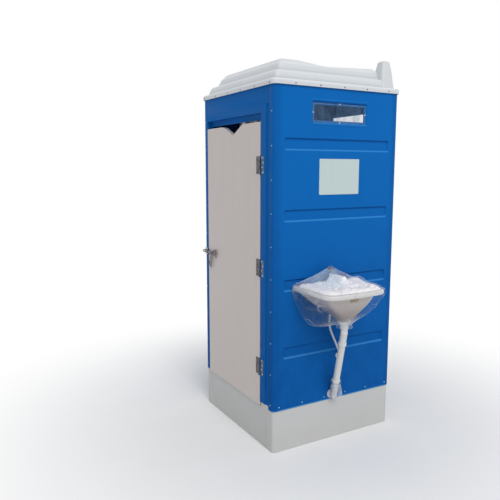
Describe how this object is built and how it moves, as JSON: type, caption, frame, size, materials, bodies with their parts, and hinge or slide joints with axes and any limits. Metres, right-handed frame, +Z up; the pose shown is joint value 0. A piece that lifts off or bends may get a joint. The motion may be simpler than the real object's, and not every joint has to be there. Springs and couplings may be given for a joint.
{
  "type": "portable toilet cabin",
  "caption": "Portable toilet cabin: blue moulded walls on a pale plinth, hinged door with sliding latch, stepped white roof with a vent tower, and an outside wash basin.",
  "frame": {"origin": "on the ground under the middle of the cabin, where the two cross flats of the ground frame meet", "axes": "+Z up, the door faces -Y, the wash basin hangs on the +X wall"},
  "size_m": [1.2923, 0.9994, 2.318],
  "materials": {
    "wall_plastic": "satin rotomoulded blue",
    "plinth_plastic": "satin moulded pale grey",
    "roof_plastic": "satin moulded white",
    "door_plastic": "satin pale warm grey skin",
    "floor_plastic": "textured grey",
    "zinc_steel": "grey primer",
    "latch_steel": "dull zinc plate",
    "hinge_steel": "dull zinc plate",
    "window_glass": "smoked sheet",
    "rivet_metal": "plain",
    "ceramic": "white glaze",
    "cistern_plastic": "white",
    "pipe_plastic": "pale grey pipe",
    "hose_plastic": "pale grey hose",
    "tap_chrome": "polished",
    "knob_plastic": "dark moulded"
  },
  "bodies": {
    "cabin": {"ground_frame": "zinc_steel", "plinth": "plinth_plastic", "floor_deck": "floor_plastic", "side_panel_right": "wall_plastic", "side_panel_left": "wall_plastic", "back_panel": "wall_plastic", "front_frame": "wall_plastic", "window_pane_right": "window_glass", "window_pane_left": "window_glass", "window_pane_back": "window_glass", "window_screws": "rivet_metal", "roof_shell": "roof_plastic", "roof_rivets": "rivet_metal", "plinth_rivets": "rivet_metal", "corner_rivets": "rivet_metal", "squat_pan": "ceramic", "soil_pipe": "pipe_plastic", "vent_pipe": "pipe_plastic", "vent_clips": "pipe_plastic", "cistern_tank": "cistern_plastic", "cistern_lid": "cistern_plastic", "flush_pipe": "cistern_plastic", "wash_basin": "ceramic", "basin_bolts": "latch_steel", "pillar_tap": "tap_chrome", "waste_coupling": "pipe_plastic", "waste_pipe": "pipe_plastic", "drain_pipe": "pipe_plastic", "basin_hose": "hose_plastic", "hose_elbow": "hose_plastic", "water_pipe": "pipe_plastic", "water_clips": "pipe_plastic", "bib_tap": "tap_chrome", "hinge_low_frame_leaf": "hinge_steel", "hinge_mid_frame_leaf": "hinge_steel", "hinge_top_frame_leaf": "hinge_steel", "hinge_low_pin": "hinge_steel", "hinge_mid_pin": "hinge_steel", "hinge_top_pin": "hinge_steel", "hinge_screws_frame": "hinge_steel", "latch_keeper": "latch_steel", "keeper_screws": "latch_steel", "inside_keeper": "latch_steel"},
    "door": {"door_leaf": "door_plastic", "hinge_low_door_leaf": "hinge_steel", "hinge_mid_door_leaf": "hinge_steel", "hinge_top_door_leaf": "hinge_steel", "hinge_screws_door": "hinge_steel", "latch_cleats": "latch_steel", "padlock_eye": "latch_steel", "latch_screws": "latch_steel", "inside_bolt_guide": "latch_steel", "inside_pull": "latch_steel", "coat_hook": "latch_steel"},
    "latch_slider": {"latch_rod": "latch_steel"},
    "hasp": {"latch_hasp": "latch_steel"},
    "door_bolt": {"inside_bolt": "latch_steel"},
    "tap_handle": {"tap_knob": "knob_plastic"},
    "bib_handle": {"bib_lever": "knob_plastic"},
    "flush_handle": {"flush_lever": "cistern_plastic"}
  },
  "joints": [
    {"name": "door_hinge", "type": "hinge", "parent": "cabin", "child": "door", "pos_m": [0.3055, -0.457, 1.092], "axis": [0, 0, 1], "range_deg": [0, 110]},
    {"name": "latch_slide", "type": "slide", "parent": "door", "child": "latch_slider", "axis": [-1, 0, 0], "range_m": [0, 0.035]},
    {"name": "hasp_swing", "type": "hinge", "parent": "latch_slider", "child": "hasp", "pos_m": [-0.33, -0.464, 1.104], "axis": [-1, 0, 0], "range_deg": [0, 120]},
    {"name": "bolt_slide", "type": "slide", "parent": "door", "child": "door_bolt", "axis": [-1, 0, 0], "range_m": [0, 0.028]},
    {"name": "tap_turn", "type": "hinge", "parent": "cabin", "child": "tap_handle", "pos_m": [0.5053, -0.09, 1.0613], "axis": [0, 0, 1], "range_deg": [0, 90]},
    {"name": "bib_turn", "type": "hinge", "parent": "cabin", "child": "bib_handle", "pos_m": [0.3637, 0.17, 0.52], "axis": [0, 0, 1], "range_deg": [0, 90]},
    {"name": "flush_press", "type": "hinge", "parent": "cabin", "child": "flush_handle", "pos_m": [-0.113, 0.3254, 1.3], "axis": [0, 1, 0], "range_deg": [0, 35], "stiffness_Nm_per_rad": 0.5, "springref_deg": -11.46}
  ]
}
